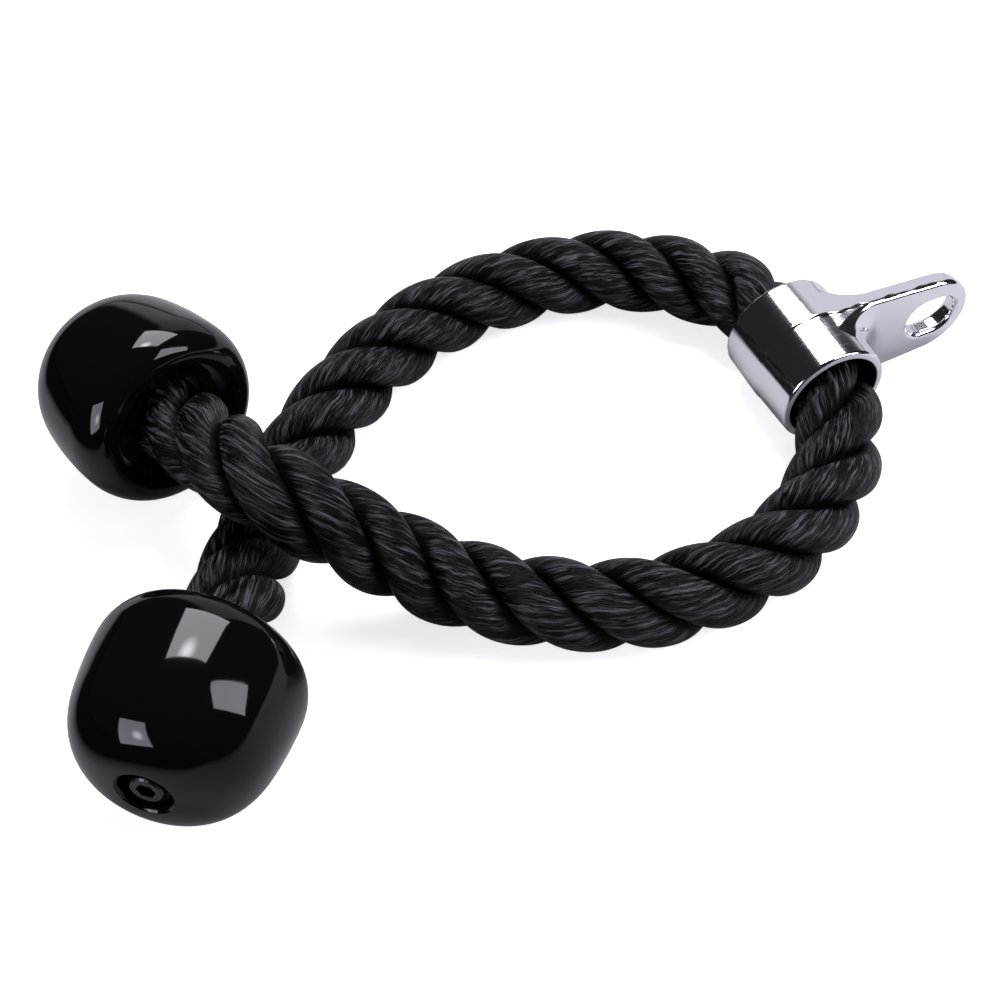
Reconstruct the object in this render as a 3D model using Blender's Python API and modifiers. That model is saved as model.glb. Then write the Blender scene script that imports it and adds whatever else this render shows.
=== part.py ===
"""Triceps rope attachment, modelled as it lies on a table.

One thick rope runs through a cast eye sleeve. Its two arms loop round and cross, and each ends in a round
stopper held by a socket screw. Metres, +Z up. The origin is on the table, under the middle of the hard
pieces. The sleeve's bore lies along Y, and its eye points to +X, the way the cable pulls."""

import math

import bmesh
import bpy
import numpy as np
from mathutils import Vector

# Gaps between pieces: faces that touch, and the loose fit of the rope in its sleeve
SEAT_GAP = 0.0003
SLEEVE_FIT_GAP = 0.0015

# Rope
ROPE_DIAMETER = 0.028
ROPE_RADIUS = ROPE_DIAMETER / 2
ROPE_POINT_STEP = 0.011
ROPE_RIM_STEPS = 4

# Where the pieces lie on the table
SLEEVE_X = 0.0975
SLEEVE_Y = -0.0079
LOWER_STOPPER_X = -0.1258
LOWER_STOPPER_Y = -0.0540
LOWER_STOPPER_TURN = math.radians(-130.0)
LOWER_STOPPER_LIFT = math.radians(4.5)
UPPER_STOPPER_X = -0.1035
UPPER_STOPPER_Y = 0.0546
UPPER_STOPPER_TURN = math.radians(108.4)
UPPER_STOPPER_LIFT = math.radians(-8.0)

# Eye sleeve: a short tube, thickest round its middle, and a flat tab with an oblong hole for the hook
SLEEVE_WALL = 0.0039
SLEEVE_TAPER = 0.0004
SLEEVE_LENGTH = 0.0356
SLEEVE_MOUTH_EDGE = 0.0008
SLEEVE_BORE_RADIUS = ROPE_RADIUS + SLEEVE_FIT_GAP
SLEEVE_RADIUS = SLEEVE_BORE_RADIUS + SLEEVE_WALL
SLEEVE_MOUTH_RADIUS = SLEEVE_RADIUS - SLEEVE_TAPER
HELD_ROPE_HEIGHT = SLEEVE_WALL + SEAT_GAP + ROPE_RADIUS
TAB_THICKNESS = 0.0068
TAB_SET_BACK = 0.002
TAB_TIP_RADIUS = 0.0153
TAB_TIP_REACH = 0.0623
TAB_EDGE = 0.0016
TAB_FILLET = 0.0095
TAB_TUCK = 0.0006
HOLE_LENGTH = 0.0185
HOLE_WIDTH = 0.015
HOLE_FROM_TIP = 0.0142

# How far each arm reaches into the sleeve from its mouth, and how much of that is straight
MOUTH_REACH = 0.0098
STRAIGHT_REACH = 0.006

# Stopper: lengths are along its own axis, from its middle, and the dome end is the positive one
DOME_REACH = 0.0325
DOME_RADIUS = 0.030
DOME_POWER = 2.75
WAIST_FROM_MIDDLE = 0.008
LIP_RADIUS = 0.0308
LIP_FROM_MIDDLE = 0.005
RIM_DEPTH = 0.012
CREST_RADIUS = 0.0228
DISH_DEPTH = 0.0035
RECESS_RADIUS = 0.0086
RECESS_DEPTH = 0.0092
END_WALL = 0.0075

# Screw, washer and ferrule
SCREW_RADIUS = 0.003
SCREW_LENGTH = 0.016
SCREW_HEAD_RADIUS = 0.005
SCREW_HEAD_HEIGHT = 0.006
SCREW_EDGE = 0.0005
KEY_ACROSS_FLATS = 0.005
KEY_DEPTH = 0.003
WASHER_RADIUS = 0.0062
WASHER_THICKNESS = 0.0016
FERRULE_WALL = 0.0017
FERRULE_BASE = 0.008
FERRULE_LENGTH = 0.024
FERRULE_EDGE = 0.0006
CUT_OVERRUN = 0.002

# Places worked out from the sizes above
RECESS_EDGE = DOME_REACH * (1 - (RECESS_RADIUS / DOME_RADIUS) ** DOME_POWER) ** (1 / DOME_POWER)
RECESS_FLOOR = RECESS_EDGE - RECESS_DEPTH
BORE_END = RECESS_FLOOR - END_WALL
CREST_PLACE = -LIP_FROM_MIDDLE - RIM_DEPTH
FERRULE_RADIUS = ROPE_RADIUS
STOPPER_BORE_RADIUS = ROPE_RADIUS + SEAT_GAP
SCREW_HOLE_RADIUS = SCREW_RADIUS + SEAT_GAP
WASHER_PLACE = RECESS_FLOOR + SEAT_GAP
HEAD_PLACE = WASHER_PLACE + WASHER_THICKNESS + SEAT_GAP
FERRULE_TOP = BORE_END - SEAT_GAP
FERRULE_FLOOR = FERRULE_TOP - FERRULE_BASE
FERRULE_MOUTH = FERRULE_TOP - FERRULE_LENGTH
HELD_ROPE_RADIUS = FERRULE_RADIUS - FERRULE_WALL - SEAT_GAP
ARM_END = FERRULE_MOUTH - SEAT_GAP

# Steps round turned shapes and along their curves
STOPPER_STEPS = 40
SLEEVE_STEPS = 48
SMALL_STEPS = 24
DOME_STEPS = 9
FLANK_STEPS = 2
RIM_STEPS = 5
DISH_STEPS = 3
ARC_STEPS = 14
FILLET_STEPS = 4
EDGE_SEGMENTS = 2
HEX_SIDES = 6
WELD = 0.00001
SMOOTH_ANGLE = math.radians(35.0)

# Routes of the two arms, chosen by hand: the rope's middle line, from the sleeve towards the stopper
LOWER_ROUTE = [
    (0.0954, 0.0241, 0.0176),
    (0.0886, 0.0371, 0.0158),
    (0.0776, 0.0492, 0.0146),
    (0.0626, 0.0590, 0.0144),
    (0.0451, 0.0648, 0.0144),
    (0.0256, 0.0670, 0.0144),
    (0.0061, 0.0660, 0.0144),
    (-0.0119, 0.0614, 0.0144),
    (-0.0289, 0.0538, 0.0144),
    (-0.0449, 0.0440, 0.0144),
    (-0.0595, 0.0322, 0.0144),
    (-0.0729, 0.0190, 0.0144),
    (-0.0859, 0.0044, 0.0146),
    (-0.0965, -0.0110, 0.0180),
    (-0.1053, -0.0268, 0.0256),
]
UPPER_ROUTE = [
    (0.0931, -0.0369, 0.0175),
    (0.0851, -0.0482, 0.0161),
    (0.0741, -0.0576, 0.0150),
    (0.0601, -0.0654, 0.0144),
    (0.0436, -0.0700, 0.0144),
    (0.0256, -0.0712, 0.0144),
    (0.0086, -0.0688, 0.0144),
    (-0.0069, -0.0630, 0.0144),
    (-0.0214, -0.0549, 0.0146),
    (-0.0346, -0.0454, 0.0158),
    (-0.0464, -0.0360, 0.0194),
    (-0.0572, -0.0276, 0.0260),
    (-0.0675, -0.0200, 0.0334),
    (-0.0773, -0.0116, 0.0404),
    (-0.0851, -0.0018, 0.0437),
    (-0.0903, 0.0096, 0.0430),
    (-0.0941, 0.0226, 0.0386),
]


def finish(name, colour, roughness, metallic=0.0):
    """A plain material: colour, roughness and metallic value."""
    material = bpy.data.materials.new(name)
    material.use_nodes = True
    shader = material.node_tree.nodes["Principled BSDF"]
    shader.inputs["Base Color"].default_value = (*colour, 1.0)
    shader.inputs["Roughness"].default_value = roughness
    shader.inputs["Metallic"].default_value = metallic
    return material


def add_object(name, data, group, material=None):
    obj = bpy.data.objects.new(name, data)
    group.objects.link(obj)
    if material is not None:
        data.materials.append(material)
    return obj


def turned(name, profile, steps, group, material=None, closed=True):
    """A shape turned about Z. The (radius, height) points run down the outer side and back inside."""
    mesh = bpy.data.meshes.new(name)
    edges = [(i, i + 1) for i in range(len(profile) - 1)]
    if closed:
        edges.append((len(profile) - 1, 0))
    mesh.from_pydata([(radius, 0.0, height) for radius, height in profile], edges, [])
    obj = add_object(name, mesh, group, material)
    screw = obj.modifiers.new("turn", "SCREW")
    screw.axis = "Z"
    screw.steps = steps
    screw.render_steps = steps
    screw.use_merge_vertices = True
    screw.merge_threshold = WELD
    screw.use_smooth_shade = True
    return obj


def boolean(obj, operation, other):
    modifier = obj.modifiers.new(other.name, "BOOLEAN")
    modifier.operation = operation
    modifier.solver = "EXACT"
    modifier.object = other


def as_mesh(obj):
    """The evaluated object as a plain mesh under the same name, in its place, with its caps welded."""
    bpy.context.view_layer.update()
    graph = bpy.context.evaluated_depsgraph_get()
    mesh = bpy.data.meshes.new_from_object(obj.evaluated_get(graph))
    welder = bmesh.new()
    welder.from_mesh(mesh)
    bmesh.ops.remove_doubles(welder, verts=welder.verts, dist=WELD)
    welder.to_mesh(mesh)
    welder.free()
    name, parent, group = obj.name, obj.parent, obj.users_collection[0]
    place = obj.matrix_local.copy()
    bpy.data.objects.remove(obj)
    solid = bpy.data.objects.new(name, mesh)
    group.objects.link(solid)
    solid.parent = parent
    solid.matrix_local = place
    return solid


def keep_sharp(obj):
    """A last modifier that keeps edges steeper than SMOOTH_ANGLE sharp on a piece that is shaded smooth."""
    rule = bpy.data.node_groups.get("sharp_edges")
    if rule is None:
        rule = bpy.data.node_groups.new("sharp_edges", "GeometryNodeTree")
        for way in ("INPUT", "OUTPUT"):
            rule.interface.new_socket("Geometry", in_out=way, socket_type="NodeSocketGeometry")
        start = rule.nodes.new("NodeGroupInput")
        end = rule.nodes.new("NodeGroupOutput")
        angle = rule.nodes.new("GeometryNodeInputMeshEdgeAngle")
        steep = rule.nodes.new("FunctionNodeCompare")
        steep.inputs[1].default_value = SMOOTH_ANGLE
        shade = rule.nodes.new("GeometryNodeSetShadeSmooth")
        shade.domain = "EDGE"
        shade.inputs["Shade Smooth"].default_value = False
        rule.links.new(start.outputs[0], shade.inputs["Geometry"])
        rule.links.new(angle.outputs["Unsigned Angle"], steep.inputs[0])
        rule.links.new(steep.outputs[0], shade.inputs["Selection"])
        rule.links.new(shade.outputs["Geometry"], end.inputs[0])
    obj.modifiers.new("sharp_edges", "NODES").node_group = rule


def tube(name, points, radius, group, material):
    """A round tube along points, with filled caps."""
    curve = bpy.data.curves.new(name, "CURVE")
    curve.dimensions = "3D"
    curve.bevel_depth = radius
    curve.bevel_resolution = ROPE_RIM_STEPS
    curve.use_fill_caps = True
    spline = curve.splines.new("POLY")
    spline.points.add(len(points) - 1)
    for knot, point in zip(spline.points, points):
        knot.co = (*point, 1.0)
    spline.use_smooth = True
    return add_object(name, curve, group, material)


def smooth_route(route, start_way, end_way):
    """Even points on the cubic spline through route that leaves along start_way and ends along end_way."""
    knots = np.array(route)
    spans = np.linalg.norm(np.diff(knots, axis=0), axis=1)
    places = np.concatenate([[0.0], np.cumsum(spans)])
    count = len(knots)
    system = np.eye(count)
    ways = np.zeros((count, 3))
    ways[0] = start_way
    ways[-1] = end_way
    for i in range(1, count - 1):
        before, after = spans[i - 1], spans[i]
        system[i, i - 1 : i + 2] = after, 2 * (before + after), before
        rise_before = (knots[i] - knots[i - 1]) / before
        rise_after = (knots[i + 1] - knots[i]) / after
        ways[i] = 3 * (after * rise_before + before * rise_after)
    slopes = np.linalg.solve(system, ways)
    at = np.linspace(0.0, places[-1], math.ceil(places[-1] / ROPE_POINT_STEP) + 1)
    span = np.clip(np.searchsorted(places, at, side="right") - 1, 0, count - 2)
    share = ((at - places[span]) / spans[span])[:, None]
    length = spans[span][:, None]
    return (
        (2 * share**3 - 3 * share**2 + 1) * knots[span]
        + (share**3 - 2 * share**2 + share) * length * slopes[span]
        + (3 * share**2 - 2 * share**3) * knots[span + 1]
        + (share**3 - share**2) * length * slopes[span + 1]
    )


def stopper_outline():
    """The outer side from the recess edge to the bore: dome, waist, lip, rounded rim and dished face."""
    points = []
    first = math.asin((RECESS_RADIUS / DOME_RADIUS) ** (DOME_POWER / 2))
    last = math.acos((WAIST_FROM_MIDDLE / DOME_REACH) ** (DOME_POWER / 2))
    for i in range(DOME_STEPS + 1):
        angle = first + (last - first) * i / DOME_STEPS
        radius = DOME_RADIUS * math.sin(angle) ** (2 / DOME_POWER)
        points.append((radius, DOME_REACH * math.cos(angle) ** (2 / DOME_POWER)))
    waist_radius, waist = points[-1]
    for i in range(1, FLANK_STEPS + 1):
        share = i / FLANK_STEPS
        flare = math.sin(share * math.pi / 2)
        height = waist + (-LIP_FROM_MIDDLE - waist) * share
        points.append((waist_radius + (LIP_RADIUS - waist_radius) * flare, height))
    for i in range(1, RIM_STEPS + 1):
        angle = math.pi / 2 * i / RIM_STEPS
        radius = CREST_RADIUS + (LIP_RADIUS - CREST_RADIUS) * math.cos(angle)
        points.append((radius, -LIP_FROM_MIDDLE - RIM_DEPTH * math.sin(angle)))
    for i in range(1, DISH_STEPS + 1):
        share = i / DISH_STEPS
        radius = CREST_RADIUS + (STOPPER_BORE_RADIUS - CREST_RADIUS) * share
        points.append((radius, CREST_PLACE + DISH_DEPTH * (1 - math.cos(share * math.pi)) / 2))
    return points


def resting_height(lift):
    """Height of a stopper's middle when it lies on the table with its dome end raised by lift."""
    return max(radius * math.cos(lift) - place * math.sin(lift) for radius, place in stopper_outline())


def stopper(name, group, material):
    """The outline turned about the rope's end, with its bore, screw hole and recess."""
    inside = [
        (STOPPER_BORE_RADIUS, BORE_END),
        (SCREW_HOLE_RADIUS, BORE_END),
        (SCREW_HOLE_RADIUS, RECESS_FLOOR),
        (RECESS_RADIUS, RECESS_FLOOR),
    ]
    return turned(name, stopper_outline() + inside, STOPPER_STEPS, group, material)


def washer(name, group, material):
    top = WASHER_PLACE + WASHER_THICKNESS
    profile = [
        (WASHER_RADIUS, top),
        (WASHER_RADIUS, WASHER_PLACE),
        (SCREW_HOLE_RADIUS, WASHER_PLACE),
        (SCREW_HOLE_RADIUS, top),
    ]
    return turned(name, profile, SMALL_STEPS, group, material)


def socket_screw(name, group, cutters, material):
    """Cap screw: a round head with a hexagon socket, and a plain shank in place of its thread."""
    top = HEAD_PLACE + SCREW_HEAD_HEIGHT
    end = HEAD_PLACE - SCREW_LENGTH
    profile = [
        (0.0, top),
        (SCREW_HEAD_RADIUS - SCREW_EDGE, top),
        (SCREW_HEAD_RADIUS, top - SCREW_EDGE),
        (SCREW_HEAD_RADIUS, HEAD_PLACE),
        (SCREW_RADIUS, HEAD_PLACE),
        (SCREW_RADIUS, end + SCREW_EDGE),
        (SCREW_RADIUS - SCREW_EDGE, end),
        (0.0, end),
    ]
    screw = turned(name, profile, SMALL_STEPS, group, material, closed=False)
    mesh = bpy.data.meshes.new(name + "_key")
    maker = bmesh.new()
    corner = KEY_ACROSS_FLATS / 2 / math.cos(math.pi / HEX_SIDES)
    bmesh.ops.create_cone(
        maker,
        cap_ends=True,
        segments=HEX_SIDES,
        radius1=corner,
        radius2=corner,
        depth=KEY_DEPTH + CUT_OVERRUN,
    )
    maker.to_mesh(mesh)
    maker.free()
    key = add_object(name + "_key", mesh, cutters)
    key.location = (0.0, 0.0, top - KEY_DEPTH + (KEY_DEPTH + CUT_OVERRUN) / 2)
    boolean(screw, "DIFFERENCE", key)
    return screw, key


def ferrule(name, group, material):
    """A cup crimped over the rope's end, with a threaded hole through its base for the screw."""
    inner = FERRULE_RADIUS - FERRULE_WALL
    profile = [
        (FERRULE_RADIUS - FERRULE_EDGE, FERRULE_TOP),
        (FERRULE_RADIUS, FERRULE_TOP - FERRULE_EDGE),
        (FERRULE_RADIUS, FERRULE_MOUTH),
        (inner, FERRULE_MOUTH),
        (inner, FERRULE_FLOOR),
        (SCREW_HOLE_RADIUS, FERRULE_FLOOR),
        (SCREW_HOLE_RADIUS, FERRULE_TOP),
    ]
    return turned(name, profile, SMALL_STEPS, group, material)


def arc(radius, first, last, centre=0.0):
    """Points on an arc about (centre, 0), from angle first to angle last."""
    angles = [first + (last - first) * i / ARC_STEPS for i in range(ARC_STEPS + 1)]
    return [(centre + radius * math.cos(a), radius * math.sin(a)) for a in angles]


def tab_outline():
    """Round the tip, and back inside the sleeve's wall along the two lines that touch both circles."""
    tip = TAB_TIP_REACH - TAB_TIP_RADIUS
    root = SLEEVE_RADIUS - TAB_TUCK
    lean = math.acos((root - TAB_TIP_RADIUS) / tip)
    corner = (root * math.cos(lean), root * math.sin(lean))
    return [*arc(TAB_TIP_RADIUS, -lean, lean, tip), corner, (corner[0], -corner[1])]


def hole_outline():
    """A slot along the tab: two half circles joined by straight sides."""
    radius = HOLE_WIDTH / 2
    middle = TAB_TIP_REACH - HOLE_FROM_TIP
    shift = HOLE_LENGTH / 2 - radius
    quarter = math.pi / 2
    outer = arc(radius, -quarter, quarter, middle + shift)
    return outer + arc(radius, quarter, 3 * quarter, middle - shift)


def plate(name, outline, thickness, group):
    """A flat solid of this outline in the XY plane, as a mesh."""
    curve = bpy.data.curves.new(name, "CURVE")
    curve.dimensions = "2D"
    curve.fill_mode = "BOTH"
    curve.extrude = thickness / 2
    spline = curve.splines.new("POLY")
    spline.points.add(len(outline) - 1)
    for knot, (x, y) in zip(spline.points, outline):
        knot.co = (x, y, 0.0, 1.0)
    spline.use_cyclic_u = True
    flat = as_mesh(add_object(name, curve, group))
    flat.data.shade_smooth()
    return flat


def eye_sleeve(name, group, cutters, material, place):
    """The sleeve turned about its bore, joined to the tab and to the concave fillets beside the tab."""
    half = SLEEVE_LENGTH / 2
    profile = [
        (SLEEVE_BORE_RADIUS + SLEEVE_MOUTH_EDGE, half),
        (SLEEVE_MOUTH_RADIUS - SLEEVE_MOUTH_EDGE, half),
        (SLEEVE_MOUTH_RADIUS, half - SLEEVE_MOUTH_EDGE),
        (SLEEVE_RADIUS, 0.0),
        (SLEEVE_MOUTH_RADIUS, SLEEVE_MOUTH_EDGE - half),
        (SLEEVE_MOUTH_RADIUS - SLEEVE_MOUTH_EDGE, -half),
        (SLEEVE_BORE_RADIUS + SLEEVE_MOUTH_EDGE, -half),
        (SLEEVE_BORE_RADIUS, SLEEVE_MOUTH_EDGE - half),
        (SLEEVE_BORE_RADIUS, half - SLEEVE_MOUTH_EDGE),
    ]
    sleeve = turned(name, profile, SLEEVE_STEPS, group, material)
    sleeve.location = place
    sleeve.rotation_euler = (-math.pi / 2, 0.0, 0.0)
    tab = plate("tab_solid", tab_outline(), TAB_THICKNESS, cutters)
    tab.location.z = TAB_SET_BACK
    rounding = tab.modifiers.new("edge", "BEVEL")
    rounding.width = TAB_EDGE
    rounding.segments = EDGE_SEGMENTS
    rounding.limit_method = "ANGLE"
    rounding.angle_limit = math.radians(60.0)
    hole = plate("hole_cut", hole_outline(), TAB_THICKNESS + 2 * CUT_OVERRUN, cutters)
    hole.location.z = TAB_SET_BACK
    root = SLEEVE_RADIUS - TAB_TUCK
    flank = []
    for i in range(FILLET_STEPS + 1):
        angle = math.pi / 2 * i / FILLET_STEPS
        radius = SLEEVE_MOUTH_RADIUS + TAB_FILLET * (1 - math.cos(angle))
        flank.append((radius, TAB_THICKNESS / 2 - TAB_TUCK + TAB_FILLET * (1 - math.sin(angle))))
    upper_side = [(root, flank[0][1]), *flank]
    lower_side = [(radius, -height) for radius, height in reversed(upper_side)]
    fillet = turned("fillet_solid", upper_side + lower_side, SLEEVE_STEPS, cutters)
    fillet.location.z = TAB_SET_BACK
    width = 2 * (TAB_FILLET + TAB_THICKNESS)
    beside_tab = plate("fillet_limit", tab_outline(), width, cutters)
    beside_tab.location.z = TAB_SET_BACK
    bore = turned(
        "bore_cut",
        [
            (0.0, half + CUT_OVERRUN),
            (SLEEVE_BORE_RADIUS, half + CUT_OVERRUN),
            (SLEEVE_BORE_RADIUS, -half - CUT_OVERRUN),
            (0.0, -half - CUT_OVERRUN),
        ],
        SLEEVE_STEPS,
        cutters,
        closed=False,
    )
    boolean(fillet, "INTERSECT", beside_tab)
    boolean(tab, "DIFFERENCE", bore)
    boolean(fillet, "DIFFERENCE", bore)
    boolean(sleeve, "UNION", tab)
    boolean(sleeve, "UNION", fillet)
    boolean(sleeve, "DIFFERENCE", hole)
    for helper in (tab, hole, fillet, beside_tab, bore):
        helper.parent = sleeve
    keep_sharp(sleeve)
    return sleeve


def way_out(turn, lift):
    """The way out of a stopper's dome: turn is its heading on the table, and lift is how far it points up."""
    level = math.cos(lift)
    return Vector((math.cos(turn) * level, math.sin(turn) * level, math.sin(lift)))


def rope_end(side, group, cutters, finishes, x, y, turn, lift, hinge=None):
    """The stopper, screw, washer, ferrule and held rope. Returns the middle and the way out of the dome."""
    middle = Vector((x, y, resting_height(lift)))
    frame = add_object(side + "_end", None, group)
    frame.location = middle - (hinge.location if hinge else Vector())
    frame.rotation_euler = (0.0, math.pi / 2 - lift, turn)
    frame.parent = hinge
    screw, key = socket_screw(side + "_screw", group, cutters, finishes["screw"])
    pieces = [
        stopper(side + "_stopper", group, finishes["stopper"]),
        washer(side + "_washer", group, finishes["washer"]),
        ferrule(side + "_ferrule", group, finishes["ferrule"]),
        tube(
            side + "_rope_end",
            [(0.0, 0.0, ARM_END + SEAT_GAP), (0.0, 0.0, FERRULE_FLOOR - SEAT_GAP)],
            HELD_ROPE_RADIUS,
            group,
            finishes["rope"],
        ),
        screw,
        key,
    ]
    for piece in pieces:
        piece.parent = frame
        if piece.modifiers and piece is not key:
            keep_sharp(piece)
    return middle, way_out(turn, lift)


def rope_arm(side, group, material, held_middle, out, route, end, hinge=None):
    """The free arm, from inside the sleeve's mouth to its ferrule. out is +1 or -1, the way it leaves."""
    middle, way = end
    reach = SLEEVE_LENGTH / 2 - MOUTH_REACH
    seam = held_middle + Vector((0.0, out * reach, 0.0))
    start = seam + Vector((0.0, out * STRAIGHT_REACH, 0.0))
    exit_place = middle + way * CREST_PLACE
    shift = hinge.location if hinge else Vector()
    line = smooth_route([start, *route, exit_place], (0.0, out, 0.0), way)
    points = [seam, *(Vector(point) for point in line), middle + way * ARM_END]
    arm = tube("rope_" + side + "_arm", [p - shift for p in points], ROPE_RADIUS, group, material)
    arm.parent = hinge


def main():
    for obj in list(bpy.data.objects):
        bpy.data.objects.remove(obj)
    parts = bpy.data.collections.new("triceps_rope_attachment")
    cutters = bpy.data.collections.new("cutters")
    bpy.context.scene.collection.children.link(parts)
    bpy.context.scene.collection.children.link(cutters)

    steel = (0.45, 0.45, 0.46)
    black = (0.012, 0.012, 0.014)
    finishes = {
        "rope": finish("black_rope", black, 0.55),
        "stopper": finish("glossy_black", black, 0.12),
        "screw": finish("black_oxide", black, 0.4, 1.0),
        "washer": finish("zinc_washer", steel, 0.35, 1.0),
        "ferrule": finish("steel_ferrule", steel, 0.4, 1.0),
        "sleeve": finish("bright_chrome", (0.8, 0.8, 0.82), 0.06, 1.0),
    }

    sleeve_middle = Vector((SLEEVE_X, SLEEVE_Y, SLEEVE_RADIUS))
    eye_sleeve("eye_sleeve", parts, cutters, finishes["sleeve"], sleeve_middle)
    held_middle = Vector((SLEEVE_X, SLEEVE_Y, HELD_ROPE_HEIGHT))
    held = SLEEVE_LENGTH / 2 - MOUTH_REACH - SEAT_GAP
    held_line = [held_middle + Vector((0.0, side * held, 0.0)) for side in (-1, 1)]
    tube("rope_middle", held_line, ROPE_RADIUS, parts, finishes["rope"])

    lower = rope_end(
        "lower",
        parts,
        cutters,
        finishes,
        LOWER_STOPPER_X,
        LOWER_STOPPER_Y,
        LOWER_STOPPER_TURN,
        LOWER_STOPPER_LIFT,
    )
    rope_arm("lower", parts, finishes["rope"], held_middle, 1, LOWER_ROUTE, lower)

    hinge = add_object("upper_arm_hinge", None, parts)
    hinge.location = held_middle
    upper = rope_end(
        "upper",
        parts,
        cutters,
        finishes,
        UPPER_STOPPER_X,
        UPPER_STOPPER_Y,
        UPPER_STOPPER_TURN,
        UPPER_STOPPER_LIFT,
        hinge,
    )
    rope_arm("upper", parts, finishes["rope"], held_middle, -1, UPPER_ROUTE, upper, hinge)

    for cutter in cutters.objects:
        cutter.hide_render = True
        cutter.display_type = "WIRE"


main()
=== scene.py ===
"""Looks of a triceps rope attachment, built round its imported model.

A thick black rope of three strands runs through a polished cast eye sleeve. Its arms cross on the table,
and each ends in a glossy black stopper with a socket screw. Metres, +Z up."""

import math

import bpy
import numpy as np
from mathutils import Matrix, Vector


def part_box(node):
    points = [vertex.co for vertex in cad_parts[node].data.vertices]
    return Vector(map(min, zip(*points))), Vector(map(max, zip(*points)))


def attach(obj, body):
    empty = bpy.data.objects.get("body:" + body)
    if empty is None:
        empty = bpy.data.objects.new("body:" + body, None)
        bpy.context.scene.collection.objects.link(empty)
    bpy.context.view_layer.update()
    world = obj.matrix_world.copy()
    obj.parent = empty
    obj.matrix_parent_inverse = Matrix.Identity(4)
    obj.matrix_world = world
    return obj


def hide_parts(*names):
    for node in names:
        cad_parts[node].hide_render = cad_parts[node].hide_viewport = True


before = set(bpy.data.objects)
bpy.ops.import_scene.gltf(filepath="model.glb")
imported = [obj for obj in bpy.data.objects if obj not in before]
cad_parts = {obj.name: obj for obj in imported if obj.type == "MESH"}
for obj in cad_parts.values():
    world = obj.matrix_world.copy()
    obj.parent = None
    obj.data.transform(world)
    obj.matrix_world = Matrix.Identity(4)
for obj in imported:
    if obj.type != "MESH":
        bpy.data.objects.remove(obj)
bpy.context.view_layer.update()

# Sizes that the model gives to its pieces
SEAT_GAP = 0.0003
ROPE_DIAMETER = 0.028
ROPE_RADIUS = ROPE_DIAMETER / 2
SLEEVE_X = 0.0975
SLEEVE_Y = -0.0079
SLEEVE_RADIUS = 0.0194
REAR_TAPER = 0.012
FRONT_TAPER = 0.045
SLEEVE_BORE_RADIUS = 0.0155
SLEEVE_LENGTH = 0.0356
HELD_ROPE_HEIGHT = 0.0182
TAB_THICKNESS = 0.0068
TAB_Y = SLEEVE_Y + 0.002
TAB_TIP_RADIUS = 0.0153
TAB_TIP_REACH = 0.0623
TAB_FILLET = 0.0095
HOLE_LENGTH = 0.0185
HOLE_WIDTH = 0.015
HOLE_FROM_TIP = 0.0142
MOUTH_REACH = 0.0098
STRAIGHT_REACH = 0.006

DOME_REACH = 0.0325
DOME_RADIUS = 0.030
DOME_POWER = 2.75
FLANK_JOIN = 0.0126
LIP_RADIUS = 0.0308
LIP_FROM_MIDDLE = 0.005
RIM_DEPTH = 0.012
CREST_RADIUS = 0.0228
DISH_DEPTH = 0.0035
RECESS_RADIUS = 0.0086
RECESS_DEPTH = 0.0092
RECESS_LIP = 0.0009
RECESS_LIP_DROP = 0.0003
END_WALL = 0.0075
SCREW_HOLE_RADIUS = 0.0033
FERRULE_BASE = 0.008
FERRULE_LENGTH = 0.024
HELD_END_RADIUS = 0.012

RECESS_EDGE = DOME_REACH * (1 - (RECESS_RADIUS / DOME_RADIUS) ** DOME_POWER) ** (1 / DOME_POWER)
RECESS_FLOOR = RECESS_EDGE - RECESS_DEPTH
BORE_END = RECESS_FLOOR - END_WALL
CREST_PLACE = -LIP_FROM_MIDDLE - RIM_DEPTH
FERRULE_FLOOR = BORE_END - SEAT_GAP - FERRULE_BASE
ARM_END = BORE_END - 2 * SEAT_GAP - FERRULE_LENGTH

# Each stopper: its middle, the heading of its dome, and how far the dome points up
STOPPER_PLACES = {
    "lower": (-0.1258, -0.0540, 0.03115, math.radians(-130.0), math.radians(4.5)),
    "upper": (-0.1035, 0.0546, 0.03068, math.radians(108.4), math.radians(-8.0)),
}

# The rope's middle line, from the sleeve towards each stopper
ROUTES = {
    "lower": [
        (0.0954, 0.0241, 0.0176),
        (0.0886, 0.0371, 0.0158),
        (0.0776, 0.0492, 0.0146),
        (0.0626, 0.0590, 0.0144),
        (0.0451, 0.0648, 0.0144),
        (0.0256, 0.0670, 0.0144),
        (0.0061, 0.0660, 0.0144),
        (-0.0119, 0.0614, 0.0144),
        (-0.0289, 0.0538, 0.0144),
        (-0.0449, 0.0440, 0.0144),
        (-0.0595, 0.0322, 0.0144),
        (-0.0729, 0.0190, 0.0144),
        (-0.0859, 0.0044, 0.0146),
        (-0.0965, -0.0110, 0.0180),
        (-0.1053, -0.0268, 0.0256),
    ],
    "upper": [
        (0.0931, -0.0369, 0.0175),
        (0.0851, -0.0482, 0.0161),
        (0.0741, -0.0576, 0.0150),
        (0.0601, -0.0654, 0.0144),
        (0.0436, -0.0700, 0.0144),
        (0.0256, -0.0712, 0.0144),
        (0.0086, -0.0688, 0.0144),
        (-0.0069, -0.0630, 0.0144),
        (-0.0214, -0.0549, 0.0146),
        (-0.0346, -0.0454, 0.0158),
        (-0.0464, -0.0360, 0.0194),
        (-0.0572, -0.0276, 0.0260),
        (-0.0675, -0.0200, 0.0334),
        (-0.0773, -0.0116, 0.0404),
        (-0.0851, -0.0018, 0.0437),
        (-0.0903, 0.0096, 0.0430),
        (-0.0941, 0.0226, 0.0386),
    ],
}

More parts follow.
